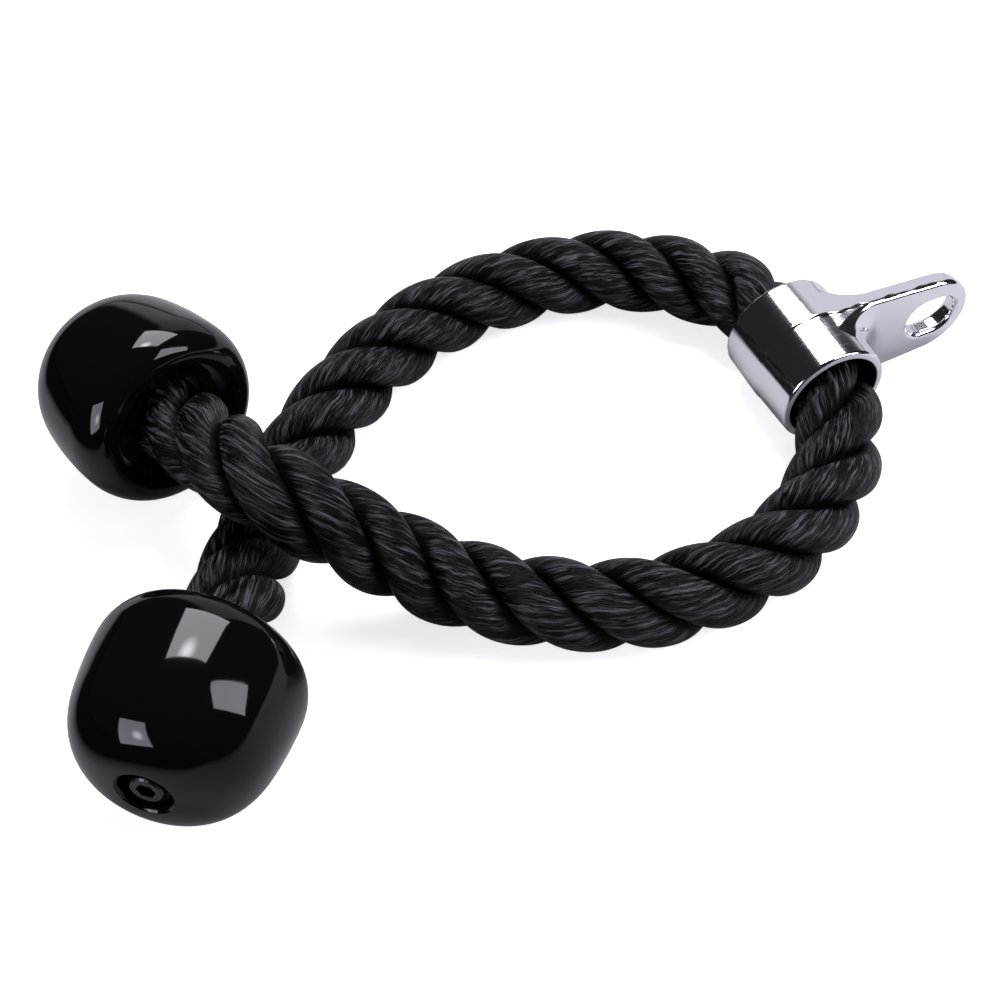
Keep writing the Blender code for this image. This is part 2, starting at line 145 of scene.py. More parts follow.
# Rope lay: three strands, laid to the right
STRANDS = 3
LAY = {"lower": 0.068, "upper": 0.065}
FIRST_ANGLE = {"lower": math.radians(13.0), "upper": math.radians(180.0)}
STRAND_PLACE = 0.0073
STRAND_DEEP = 0.0067
STRAND_WIDE = 0.0082
RING_STEP = 0.0008
STRAND_STEPS = 60
LINE_STEPS = 4000
SWELL = 0.012
SWELL_LENGTH = 0.037
SWELL_PHASE = 2.1
SWELL_DRIFT = 0.7
SWELL_DRIFT_RATE = 0.37
ROOT_NARROWING = 0.05
ROOT_LENGTH = 0.012
PATTERN_SHIFT = 4
PER_MM = 1000.0
CORD_STEP = 0.004

# Points along the parts of the stopper's outline, and round it
DOME_STEPS = 61
FLANK_STEPS = 21
RIM_STEPS = 31
LIP_STEPS = 7
TURN_STEPS = 192

# Edges sharper than these, in degrees, stay sharp
ROPE_SHARP = 40.0
STOPPER_SHARP = 35.0

# Casting marks and rounded edges of the sleeve
PARTING_STEP = 0.00025
PARTING_WIDTH = 0.0008
PARTING_SWAY = 0.0003
PARTING_WAVE = 0.0021
SECOND_WAVE = 0.6
SECOND_WAVE_RATE = 2.3
SECOND_WAVE_PHASE = 1.0
STEEPEST = 30
REAR_LEAN = 0.13
FRONT_LEAN = 0.05
TAB_TUCK = 0.0004
TAB_EDGE = 0.0014
MOUTH_EDGE = 0.0011
BORE_EDGE = 0.0008
HOLE_EDGE = 0.0018
FIELD_STEP = 0.0005
SLOPE_STEP = FIELD_STEP / 20
SETTLING_ROUNDS = 4

# How many finer layers each noise has
NOISE_DETAIL = 2.0

# Smooth finishes: colour, metallic, ripple, and the roughness of the polish and of its hairlines
CHROME = (0.80, 0.79, 0.83)
ZINC = (0.45, 0.45, 0.46)
FINISHES = {
    "glossy_black": ((0.002, 0.002, 0.0024), 0.0, 0.08, 0.05, 0.09),
    "bright_chrome": (CHROME, 1.0, 0.12, 0.1, 0.16),
    "black_oxide": ((0.05, 0.05, 0.052), 1.0, 0.2, 0.28, 0.4),
    "zinc_washer": (ZINC, 1.0, 0.2, 0.3, 0.42),
    "steel_ferrule": (ZINC, 1.0, 0.2, 0.34, 0.5),
}
MOULDING_IOR = 1.34
RIPPLE_SCALE = 90.0
HAIRLINE_TURN = (0.4, 0.9, 0.6)
HAIRLINE_SCALE = (30.0, 900.0, 900.0)
HAIRLINE_SEEN = (0.62, 0.75)
MARKS_DEPTH = 0.0002
# Painted shade inside the sleeve's bore: its near-black colour
BORE_SHADE_COLOUR = (0.02, 0.02, 0.022)
BORE_DULL_FROM = (BORE_EDGE, BORE_EDGE / 2)
GROUND_ROUGHNESS = 0.7
GROUND_FROM = (MOUTH_EDGE / 6, MOUTH_EDGE / 12)

# Rope finish: how the yarns run in millimetres of the rope's surface, their colours with streaks of painted
# sheen, their sheen, and painted shade in the grooves
FIBRE_DARK = (0.0016, 0.0016, 0.0019)
# The light yarn colour: partly the yarns' own random tone, partly painted sheen
FIBRE_SHEEN_LIGHT = (0.078, 0.076, 0.088)
FIBRE_SPECULAR = 0.08
YARN_SCALES = ((0.16, 1.9), (0.06, 0.6))
YARN_FINENESS = 0.6
YARN_COARSE_SHARE = 1.2
YARN_SWAY = 2.4
YARN_SWAY_SCALE = 0.12
# Heights over which high yarns take the light colour, as streaks of painted sheen
YARN_SHEEN_LIT = (1.1, 1.38)
YARN_RISE = (0.9, 1.4)
YARN_ROUGHNESS = (0.34, 0.22)
YARN_DEPTH = 0.0012
# Painted shade in the grooves: where it begins, and how much of the light colour is left deep in them
GROOVE_SHADE_BEGINS = (0.68, 0.84)
GROOVE_SHADE_SHOWN = 0.08

# Camera
CAMERA_PLACE = (-0.1513, -0.3092, 0.4283)
CAMERA_AIM = (-0.0109, -0.0054, 0.0)
CAMERA_LENS = 61.24
CAMERA_SENSOR = 36.0
CAMERA_NEAR = 0.01

# Table: its colours in the light that it bounces and in reflections, and how far the camera sees it lifted
TABLE_HALF = 3.0
TABLE_HEIGHT = -0.0002
TABLE_ROUGHNESS = 0.8
TABLE_WHITE = (0.8, 0.8, 0.82)
TABLE_BOUNCED = (0.25, 0.25, 0.26)
TABLE_MIRRORED = (0.4, 0.4, 0.41)
TABLE_END_MIRRORED = (0.005, 0.005, 0.006)
TABLE_END = -0.22
TABLE_END_SOFT = 0.02
TABLE_LIFT = (0.72, 1.0)
TABLE_LIFT_FROM = (0.4, 1.2)

# Room: the fill light, and a pale backdrop in reflections, with its headings, its heights and its soft edge
FILL = 0.25
BACKDROP_COLOUR = (0.92, 0.9, 1.0)
BACKDROP_RIGHT = (math.radians(20.0), math.radians(38.0))
BACKDROP_LEFT = (math.radians(55.0), math.radians(105.0))
BACKDROP_LOW = math.radians(-20.0)
BACKDROP_TOP = math.radians(41.0)
BACKDROP_EDGE = (math.radians(4.0), math.radians(-8.0))
BACKDROP_STRENGTH = (0.02, 0.8)

# Soft boxes, placed from a point at the near stopper: each one's place, the way out of its rear side, the
# way of its width, its size, radiance and colour, and the place and strength of its hot spot
LAMPS_FACE = (-0.125, -0.056, 0.06)
HOT_SPOT_REACH = 0.25
LAMPS = {
    "rear_box": {
        "place": (0.378, 0.463, 0.801),
        "back": (0.378, 0.463, 0.801),
        "side": (0.805, -0.592, -0.037),
        "size": (0.674, 0.539),
        "radiance": 11.0,
        "colour": (0.97, 0.93, 1.0),
        "hot_spot": (0.44, 0.08),
        "hot": 3.2,
    },
    "right_box": {
        "place": (0.807, -0.360, 0.469),
        "back": (-0.107, -0.764, 0.636),
        "side": (0.898, -0.349, -0.268),
        "size": (0.831, 0.376),
        "radiance": 8.5,
        "colour": (0.92, 0.9, 1.0),
        "hot_spot": (0.5, 0.5),
        "hot": 1.0,
    },
    "left_box": {
        "place": (-0.706, -0.304, 0.221),
        "back": (-0.835, -0.36, 0.262),
        "side": (0.459, -0.79, 0.40),
        "size": (0.38, 0.48),
        "radiance": 6.5,
        "colour": (0.88, 0.86, 1.0),
        "hot_spot": (0.65, 0.42),
        "hot": 3.4,
    },
}


def mesh_object(name, points, faces, corner_uv=None):
    """A mesh of these points. faces is a list of whole-number arrays, one row for each face, and they point
    outwards."""
    corners = np.concatenate([block.ravel() for block in faces])
    sizes = np.concatenate([np.full(len(block), block.shape[1]) for block in faces])
    mesh = bpy.data.meshes.new(name)
    mesh.vertices.add(len(points))
    mesh.vertices.foreach_set("co", np.asarray(points, np.float32).ravel())
    mesh.loops.add(len(corners))
    mesh.loops.foreach_set("vertex_index", corners.astype(np.int32))
    mesh.polygons.add(len(sizes))
    mesh.polygons.foreach_set("loop_start", (np.cumsum(sizes) - sizes).astype(np.int32))
    if corner_uv is not None:
        layer = mesh.uv_layers.new(name="UVMap")
        layer.data.foreach_set("uv", np.asarray(corner_uv, np.float32).ravel())
    mesh.update(calc_edges=True)
    mesh.shade_smooth()
    obj = bpy.data.objects.new(name, mesh)
    bpy.context.scene.collection.objects.link(obj)
    return obj


def volume(points, faces):
    """Six times the signed volume of a closed surface: the sum of each face's fan of triple products."""
    total = 0.0
    for block in faces:
        first = points[block[:, 0]]
        for k in range(1, block.shape[1] - 1):
            area = np.cross(points[block[:, k]], points[block[:, k + 1]])
            total += np.einsum("ij,ij->i", first, area).sum()
    return total


def grid_faces(rows, columns, close_rows):
    """Quads of a grid whose columns run round, and whose rows do too if close_rows is set."""
    index = np.arange(rows * columns).reshape(rows, columns)
    below = np.roll(index, -1, 0) if close_rows else index[1:]
    here = index if close_rows else index[:-1]
    quads = np.stack([here, np.roll(here, -1, 1), np.roll(below, -1, 1), below], -1)
    return quads.reshape(-1, 4)


def keep_edges(obj, degrees):
    """Smooth shading everywhere but at edges sharper than this."""
    obj.data.set_sharp_from_angle(angle=math.radians(degrees))
    return obj


def dress(obj, body, material, replaced=()):
    """Give the piece its material and its body, and hide the model's nodes that it stands for."""
    obj.data.materials.append(material)
    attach(obj, body)
    if replaced:
        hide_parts(*replaced)
    return obj


def smooth_line(route, start_way, end_way):
    """Dense points on the cubic spline through route that leaves along start_way and ends along end_way."""
    knots = np.array(route, float)
    spans = np.linalg.norm(np.diff(knots, axis=0), axis=1)
    places = np.concatenate([[0.0], np.cumsum(spans)])
    count = len(knots)
    system = np.eye(count)
    ways = np.zeros((count, 3))
    ways[0] = start_way
    ways[-1] = end_way
    inner = np.arange(1, count - 1)
    before = spans[:-1]
    after = spans[1:]
    system[inner, inner - 1] = after
    system[inner, inner] = 2 * (before + after)
    system[inner, inner + 1] = before
    rise = np.diff(knots, axis=0) / spans[:, None]
    ways[inner] = 3 * (after[:, None] * rise[:-1] + before[:, None] * rise[1:])
    slopes = np.linalg.solve(system, ways)
    at = np.linspace(0.0, places[-1], LINE_STEPS)
    span = np.clip(np.searchsorted(places, at, side="right") - 1, 0, count - 2)
    share = ((at - places[span]) / spans[span])[:, None]
    length = spans[span][:, None]
    return (
        (2 * share**3 - 3 * share**2 + 1) * knots[span]
        + (share**3 - 2 * share**2 + share) * length * slopes[span]
        + (3 * share**2 - 2 * share**3) * knots[span + 1]
        + (share**3 - share**2) * length * slopes[span + 1]
    )


def even_line(line, step):
    """The same line with points at even distances along it, about step apart, and those distances."""
    along = np.concatenate([[0.0], np.cumsum(np.linalg.norm(np.diff(line, axis=0), axis=1))])
    distance = np.linspace(0.0, along[-1], math.ceil(along[-1] / step) + 1)
    points = np.stack([np.interp(distance, along, line[:, axis]) for axis in range(3)], -1)
    return points, distance


def strand_section():
    """One strand cut square to the rope: for each angle from its crown, the far crossing of the ray from the
    rope's middle with the strand's ellipse. Returns the angles, the radii and the distance from the crown."""
    angle = np.linspace(-math.pi / STRANDS, math.pi / STRANDS, STRAND_STEPS + 1)
    a = (np.cos(angle) / STRAND_DEEP) ** 2 + (np.sin(angle) / STRAND_WIDE) ** 2
    b = np.cos(angle) * STRAND_PLACE / STRAND_DEEP**2
    c = (STRAND_PLACE / STRAND_DEEP) ** 2 - 1
    radius = (b + np.sqrt(b * b - a * c)) / a
    outline = np.stack([radius * np.cos(angle), radius * np.sin(angle)], -1)
    across = np.concatenate([[0.0], np.cumsum(np.linalg.norm(np.diff(outline, axis=0), axis=1))])
    return angle, radius, across - across[-1] / 2


def laid_rope(name, line, lay, first_angle, scale=1.0, narrow_end=False):
    """The three strands along a line, as one closed surface.

    At distance s the section is turned by -2 pi s / lay about the line, which lays the rope to the right.
    The section's sides are level with the table and square to the line. A slow sine wave along each strand
    swells it a little. UV is the distance along the rope and the distance across the strand less the crown's
    travel round the rope, in millimetres, so that lines of equal v run straight along the rope, as the yarns
    of a laid rope do. The attribute groove is 0 at a strand's crown and 1 where it meets the next strand."""
    points, distance = even_line(line, RING_STEP)
    way = np.gradient(points, axis=0)
    way /= np.linalg.norm(way, axis=1)[:, None]
    side = np.cross(way, (0.0, 0.0, 1.0))
    side /= np.linalg.norm(side, axis=1)[:, None]
    top = np.cross(side, way)
    angle, radius, across = strand_section()
    strand = np.arange(STRANDS)
    local = (angle[None, :-1] + 2 * math.pi * strand[:, None] / STRANDS).ravel()
    section = np.tile(radius[:-1], STRANDS) * scale
    turn = first_angle - 2 * math.pi * distance / lay
    theta = turn[:, None] + local[None, :]
    which = np.repeat(strand, STRAND_STEPS)
    wave = 2 * math.pi * distance[:, None] / SWELL_LENGTH
    drift = SWELL_DRIFT * np.sin(SWELL_DRIFT_RATE * wave)
    swell = 1 - SWELL * (0.5 + 0.5 * np.sin(wave + SWELL_PHASE * which[None, :] + drift))
    if narrow_end:
        from_end = (distance[-1] - distance[:, None]) / ROOT_LENGTH
        swell = swell * (1 - ROOT_NARROWING * np.exp(-(from_end**2)))
    reach = section[None, :] * swell
    surface = (
        points[:, None]
        + (reach * np.cos(theta))[..., None] * side[:, None]
        + (reach * np.sin(theta))[..., None] * top[:, None]
    )
    rows, columns = theta.shape
    quads = grid_faces(rows, columns, False)
    travel = 2 * math.pi * distance / lay * radius.max()
    shift = which * across[-1] * PATTERN_SHIFT
    start = np.tile(across[:-1], STRANDS) + shift
    end = np.tile(across[1:], STRANDS) + shift
    u = np.broadcast_to(distance[:, None], (rows, columns))
    v_start = start[None, :] - travel[:, None]
    v_end = end[None, :] - travel[:, None]
    uv = np.stack(
        [
            np.stack([u[:-1], v_start[:-1]], -1),
            np.stack([u[:-1], v_end[:-1]], -1),
            np.stack([u[1:], v_end[1:]], -1),
            np.stack([u[1:], v_start[1:]], -1),
        ],
        2,
    ).reshape(-1, 4, 2)
    first = rows * columns
    ring = np.arange(columns)
    after = np.roll(ring, -1)
    last = (rows - 1) * columns
    start_cap = np.stack([np.full(columns, first), after, ring], -1)
    end_cap = np.stack([np.full(columns, first + 1), last + ring, last + after], -1)
    cap_uv = np.zeros((2 * columns * 3, 2))
    all_points = np.concatenate([surface.reshape(-1, 3), points[:1], points[-1:]])
    faces = [quads, start_cap, end_cap]
    corner_uv = np.concatenate([uv.reshape(-1, 2), cap_uv]) * PER_MM
    if volume(all_points, faces) < 0:
        faces = [block[:, ::-1] for block in faces]
        corner_uv = np.concatenate([uv[:, ::-1].reshape(-1, 2), cap_uv]) * PER_MM
    rope = mesh_object(name, all_points, faces, corner_uv)
    groove = np.append(np.tile(np.abs(across[:-1]) / across[-1], STRANDS * rows), (1.0, 1.0))
    layer = rope.data.attributes.new("groove", "FLOAT", "POINT")
    layer.data.foreach_set("value", groove.astype(np.float32))
    return keep_edges(rope, ROPE_SHARP)


def stopper_frame(side):
    """The stopper's middle, the way out of its dome, and two directions square to it."""
    x, y, z, turn, lift = STOPPER_PLACES[side]
    level = math.cos(lift)
    way = np.array([math.cos(turn) * level, math.sin(turn) * level, math.sin(lift)])
    across = np.cross(way, (0.0, 0.0, 1.0))
    across /= np.linalg.norm(across)
    return np.array([x, y, z]), way, across, np.cross(across, way)


def stopper_outline():
    """The outer side as (radius, place) from the recess edge to the bore: a superellipse dome, a parabola
    that leaves it at the same slope and levels out at the lip, a quarter ellipse round the rim, and half a
    cosine down into the dished face."""
    first = math.asin((RECESS_RADIUS / DOME_RADIUS) ** (DOME_POWER / 2))
    last = math.acos((FLANK_JOIN / DOME_REACH) ** (DOME_POWER / 2))
    angle = np.linspace(first, last, DOME_STEPS)
    power = 2 / DOME_POWER
    dome = np.stack([DOME_RADIUS * np.sin(angle) ** power, DOME_REACH * np.cos(angle) ** power], -1)
    share = np.linspace(0.0, 1.0, FLANK_STEPS)[1:]
    flank = np.stack(
        [
            LIP_RADIUS - (LIP_RADIUS - dome[-1, 0]) * (1 - share) ** 2,
            FLANK_JOIN - (FLANK_JOIN + LIP_FROM_MIDDLE) * share,
        ],
        -1,
    )
    angle = np.linspace(0.0, math.pi / 2, RIM_STEPS)[1:]
    rim = np.stack(
        [
            CREST_RADIUS + (LIP_RADIUS - CREST_RADIUS) * np.cos(angle),
            -LIP_FROM_MIDDLE - RIM_DEPTH * np.sin(angle),
        ],
        -1,
    )
    bore = ROPE_RADIUS + SEAT_GAP
    dish = np.stack(
        [
            CREST_RADIUS + (bore - CREST_RADIUS) * share,
            CREST_PLACE + DISH_DEPTH * (1 - np.cos(share * math.pi)) / 2,
        ],
        -1,
    )
    return np.concatenate([dome, flank, rim, dish])


def turned(name, profile, frame_of_turning):
    """A closed profile of (radius, place) points turned about the way of the frame, as a closed ring."""
    middle, way, across, top = frame_of_turning
    angle = np.linspace(0.0, 2 * math.pi, TURN_STEPS, endpoint=False)
    spoke = np.cos(angle)[:, None] * across + np.sin(angle)[:, None] * top
    points = middle + profile[:, 1, None, None] * way + profile[:, 0, None, None] * spoke
    rows, columns = points.shape[:2]
    points = points.reshape(-1, 3)
    faces = [grid_faces(rows, columns, True)]
    if volume(points, faces) < 0:
        faces = [block[:, ::-1] for block in faces]
    return keep_edges(mesh_object(name, points, faces), STOPPER_SHARP)


def stopper_profile():
    """The outer side, then back inside: bore, screw hole and recess, with a quarter circle round the recess
    edge."""
    outer = stopper_outline()
    bore = ROPE_RADIUS + SEAT_GAP
    inside = np.array(
        [
            (bore, BORE_END),
            (SCREW_HOLE_RADIUS, BORE_END),
            (SCREW_HOLE_RADIUS, RECESS_FLOOR),
            (RECESS_RADIUS - RECESS_LIP, RECESS_FLOOR),
        ]
    )
    angle = np.linspace(0.0, math.pi / 2, LIP_STEPS)
    lip = np.stack(
        [
            RECESS_RADIUS - RECESS_LIP * np.cos(angle),
            RECESS_EDGE - RECESS_LIP_DROP - RECESS_LIP * (1 - np.sin(angle)),
        ],
        -1,
    )
    return np.concatenate([outer, inside, lip[:-1]])


def round_or(a, b, radius):
    """Join two fields with a round inner corner: less the length of what each falls short of the radius."""
    short = np.hypot(np.maximum(radius - a, 0.0), np.maximum(radius - b, 0.0))
    return np.maximum(radius, np.minimum(a, b)) - short


def round_and(a, b, radius):
    """Keep what is inside both fields, with a round outer corner."""
    over = np.hypot(np.maximum(radius + a, 0.0), np.maximum(radius + b, 0.0))
    return np.minimum(-radius, np.maximum(a, b)) + over


def tab_field(along, across, root, tip_radius, tip):
    """Distance to a flat outline made of two circles and the lines that touch both: that of the root's circle
    behind the lines, of the tip's circle past them, and of the straight side between."""
    across = np.abs(across)
    lean = (root - tip_radius) / tip
    level = math.sqrt(1 - lean * lean)
    place = along * level - across * lean
    sides = across * level + along * lean - root
    near = np.hypot(along, across) - root
    far = np.hypot(along - tip, across) - tip_radius
    return np.where(place < 0, near, np.where(place > level * tip, far, sides))


def sleeve_field(points):
    """Distance from the sleeve's surface, negative inside: a barrel and a flat tab joined by fillets, less
    the bore and the oblong hole. Its halves meet at a parting line round the barrel's middle, which sways as
    the sum of two sines. There the rear half stands proud of the front one by a smooth logistic step, and
    both lean away from that line, as a casting does."""
    along = points[..., 0] - SLEEVE_X
    up = points[..., 2] - SLEEVE_RADIUS
    second = SECOND_WAVE * np.sin(SECOND_WAVE_RATE * along / PARTING_WAVE + SECOND_WAVE_PHASE)
    wave = np.sin(along / PARTING_WAVE) + second
    behind = points[..., 1] - SLEEVE_Y - PARTING_SWAY * wave
    radial = np.hypot(along, up)
    step = PARTING_STEP / (1 + np.exp(np.clip(4 * behind / PARTING_WIDTH, -STEEPEST, STEEPEST)))
    from_middle = np.abs(points[..., 1] - SLEEVE_Y)
    taper = np.where(behind > 0, REAR_TAPER, FRONT_TAPER) * np.abs(behind)
    outer = radial - SLEEVE_RADIUS + step + taper
    barrel = round_and(outer, from_middle - SLEEVE_LENGTH / 2, MOUTH_EDGE)
    slab = np.abs(points[..., 1] - TAB_Y) - TAB_THICKNESS / 2
    tip = TAB_TIP_REACH - TAB_TIP_RADIUS
    lean = np.where(behind > 0, REAR_LEAN * behind, -FRONT_LEAN * behind)
    outline = tab_field(along, up, SLEEVE_RADIUS - TAB_TUCK, TAB_TIP_RADIUS, tip) + step + lean
    web = round_and(round_or(barrel, slab, TAB_FILLET), outline, TAB_EDGE)
    body = np.minimum(barrel, web)
    body = round_and(body, SLEEVE_BORE_RADIUS - radial, BORE_EDGE)
    straight = HOLE_LENGTH / 2 - HOLE_WIDTH / 2
    from_hole = along - (TAB_TIP_REACH - HOLE_FROM_TIP)
    slot = np.hypot(from_hole - np.clip(from_hole, -straight, straight), up) - HOLE_WIDTH / 2
    return round_and(body, -slot, HOLE_EDGE)


def shifted(values, x, y, z):
    """The block of values that starts at this corner of every grid cell."""
    n = values.shape
    return values[x : n[0] - 1 + x, y : n[1] - 1 + y, z : n[2] - 1 + z]


def slope(field, points):
    """The field's gradient, from central differences."""
    steps = np.eye(3) * SLOPE_STEP
    return np.stack([field(points + way) - field(points - way) for way in steps], -1) / (2 * SLOPE_STEP)


def level_surface(name, field, low, high):
    """The surface where a field is zero. Each grid cell that it crosses holds one point, the mean of the
    crossings on its edges, drawn onto the surface along the gradient by Newton's rule: less the field's value
    over its slope. A quad joins the four cells round each crossed edge."""
    axes = [np.arange(a, b + FIELD_STEP, FIELD_STEP) for a, b in zip(low, high)]
    grid = np.stack(np.meshgrid(*axes, indexing="ij"), -1)
    value = field(grid)
    total = np.zeros([n - 1 for n in value.shape] + [3])
    count = np.zeros([n - 1 for n in value.shape])
    for axis in range(3):
        for corner in range(4):
            start = [0, 0, 0]
            start[(axis + 1) % 3] = corner & 1
            start[(axis + 2) % 3] = corner >> 1
            end = list(start)
            end[axis] = 1
            a, b = shifted(value, *start), shifted(value, *end)
            crossed = (a < 0) != (b < 0)
            share = np.where(crossed, a / np.where(crossed, a - b, 1.0), 0.0)
            near = shifted(grid, *start)
            place = near + share[..., None] * (shifted(grid, *end) - near)
            total += np.where(crossed[..., None], place, 0.0)
            count += crossed
    used = count > 0
    number = np.full(count.shape, -1)
    number[used] = np.arange(used.sum())
    points = total[used] / count[used][:, None]
    for _ in range(SETTLING_ROUNDS):
        gradient = slope(field, points)
        share = field(points) / np.einsum("ij,ij->i", gradient, gradient)
        points = points - share[:, None] * gradient
    blocks = []
    for axis in range(3):
        one = [slice(None)] * 3
        two = [slice(None)] * 3
        one[axis] = slice(0, -1)
        two[axis] = slice(1, None)
        inside = value[tuple(one)] < 0
        crossed = inside != (value[tuple(two)] < 0)
        place = np.stack(np.nonzero(crossed), -1)
        outward = inside[crossed]
        b, c = (axis + 1) % 3, (axis + 2) % 3
        corners = []
        for step_b, step_c in ((-1, -1), (0, -1), (0, 0), (-1, 0)):
            at = place.copy()
            at[:, b] += step_b
            at[:, c] += step_c
            corners.append(number[at[:, 0], at[:, 1], at[:, 2]])
        quads = np.stack(corners, -1)
        blocks.append(np.where(outward[:, None], quads, quads[:, ::-1]))
    quads = np.concatenate(blocks)
    obj = mesh_object(name, points, [quads])
    normals = slope(field, points)
    normals /= np.linalg.norm(normals, axis=1)[:, None]
    obj.data.normals_split_custom_set_from_vertices(normals.astype(np.float32))
    return obj


def put(tree, kind, inputs=None, **settings):
    """Add a node. inputs gives each input's value, or the output socket that feeds it."""
    node = tree.nodes.new(kind)
    for key, value in settings.items():
        setattr(node, key, value)
    for key, value in (inputs or {}).items():
        if isinstance(value, bpy.types.NodeSocket):
            tree.links.new(value, node.inputs[key])
        else:
            node.inputs[key].default_value = value
    return node


def ranged(tree, value, low_high, to=(0.0, 1.0), interpolation="LINEAR"):
    """The value carried evenly from the range low_high to the range to, and held at its ends."""
    node = put(tree, "ShaderNodeMapRange", {"Value": value, "From Min": low_high[0], "From Max": low_high[1],
                                            "To Min": to[0], "To Max": to[1]},
               interpolation_type=interpolation)
    return node.outputs[0]


def blend(tree, factor, first, second):
    """The first colour where factor is 0, and the second where it is 1. Each is given as three numbers, or as
    the output socket that feeds it."""
    given = {"Factor": factor}
    for socket, colour in (("A", first), ("B", second)):
        given[socket] = (*colour, 1.0) if isinstance(colour, tuple) else colour
    return put(tree, "ShaderNodeMix", given, data_type="RGBA").outputs["Result"]


def new_group(name, inputs, outputs):
    """An empty shader node group with these named float, colour or vector sockets."""
    group = bpy.data.node_groups.new(name, "ShaderNodeTree")
    kinds = {"f": "NodeSocketFloat", "c": "NodeSocketColor", "v": "NodeSocketVector"}
    for socket, kind in inputs:
        group.interface.new_socket(socket, in_out="INPUT", socket_type=kinds[kind])
    for socket, kind in outputs:
        group.interface.new_socket(socket, in_out="OUTPUT", socket_type=kinds[kind])
    return group, group.nodes.new("NodeGroupInput"), group.nodes.new("NodeGroupOutput")


def yarn_group():
    """Silky yarns: a colour, a roughness and a height that run in fine swaying lines along the first
    coordinate. The height is a fine noise and a share of a coarse one, and high yarns are smooth and take a
    light colour, which is partly their own random tone and partly painted sheen. Shown says how much of
    that light colour, and so of the painted sheen, shows."""
    group, given, out = new_group("yarns", [("Place", "v"), ("Shown", "f"), ("Dark", "c"), ("Light", "c")],
                                  [("Color", "c"), ("Roughness", "f"), ("Height", "f")])
    parts = put(group, "ShaderNodeSeparateXYZ", {0: given.outputs["Place"]})
    slow = put(group, "ShaderNodeTexNoise", {"Vector": given.outputs["Place"], "Scale": YARN_SWAY_SCALE,
                                             "Detail": NOISE_DETAIL})
    sway = put(group, "ShaderNodeMath", {0: slow.outputs["Fac"], 1: YARN_SWAY, 2: parts.outputs["Y"]},
               operation="MULTIPLY_ADD")
    masks = []
    for along, across in YARN_SCALES:
        u = put(group, "ShaderNodeMath", {0: parts.outputs["X"], 1: along}, operation="MULTIPLY")
        v = put(group, "ShaderNodeMath", {0: sway.outputs[0], 1: across}, operation="MULTIPLY")
        place = put(group, "ShaderNodeCombineXYZ", {"X": u.outputs[0], "Y": v.outputs[0]})
        masks.append(put(group, "ShaderNodeTexNoise", {"Vector": place.outputs[0], "Scale": 1.0,
                                                       "Detail": NOISE_DETAIL, "Roughness": YARN_FINENESS}))
    height = put(group, "ShaderNodeMath", {0: masks[1].outputs["Fac"], 1: YARN_COARSE_SHARE,
                                           2: masks[0].outputs["Fac"]}, operation="MULTIPLY_ADD")
    # Painted sheen: high yarns take the light colour whether they are lit or not
    sheen_streak = ranged(group, height.outputs[0], YARN_SHEEN_LIT)
    shown = put(group, "ShaderNodeMath", {0: sheen_streak, 1: given.outputs["Shown"]}, operation="MULTIPLY")
    colour = blend(group, shown.outputs[0], given.outputs["Dark"], given.outputs["Light"])
    rough = ranged(group, height.outputs[0], YARN_RISE, YARN_ROUGHNESS)
    group.links.new(colour, out.inputs["Color"])
    group.links.new(rough, out.inputs["Roughness"])
    group.links.new(height.outputs[0], out.inputs["Height"])
    return group


def marks_group():
    """Small marks on a smooth surface: a soft ripple as a height, and fine hairlines as a roughness that goes
    from Smooth to Worn where a stretched noise peaks."""
    group, given, out = new_group("fine_marks", [("Ripple", "f"), ("Smooth", "f"), ("Worn", "f")],
                                  [("Roughness", "f"), ("Height", "f")])
    place = put(group, "ShaderNodeTexCoord")
    ripple = put(group, "ShaderNodeTexNoise", {"Vector": place.outputs["Object"], "Scale": RIPPLE_SCALE,
                                               "Detail": NOISE_DETAIL})
    turned_place = put(group, "ShaderNodeMapping", {"Vector": place.outputs["Object"],
                                                    "Rotation": HAIRLINE_TURN, "Scale": HAIRLINE_SCALE})
    hair = put(group, "ShaderNodeTexNoise", {"Vector": turned_place.outputs[0], "Scale": 1.0,
                                             "Detail": NOISE_DETAIL})
    line = ranged(group, hair.outputs["Fac"], HAIRLINE_SEEN)
    rough = ranged(group, line, (0.0, 1.0), (given.outputs["Smooth"], given.outputs["Worn"]))
    height = put(group, "ShaderNodeMath", {0: ripple.outputs["Fac"], 1: given.outputs["Ripple"]},
                 operation="MULTIPLY")
    group.links.new(rough, out.inputs["Roughness"])
    group.links.new(height.outputs[0], out.inputs["Height"])
    return group


def new_material(name, **sockets):
    """A material with these constants on its Principled BSDF. Returns the material, its tree and its
    shader."""
    material = bpy.data.materials.new(name)
    material.use_nodes = True
    tree = material.node_tree
    shader = tree.nodes["Principled BSDF"]
    for key, value in sockets.items():
        shader.inputs[key.replace("_", " ")].default_value = value
    return material, tree, shader


def bumped(tree, shader, height, depth):
    """Let this height, times the depth, turn the shader's normal."""
    bump = put(tree, "ShaderNodeBump", {"Height": height, "Strength": 1.0, "Distance": depth})
    tree.links.new(bump.outputs["Normal"], shader.inputs["Normal"])


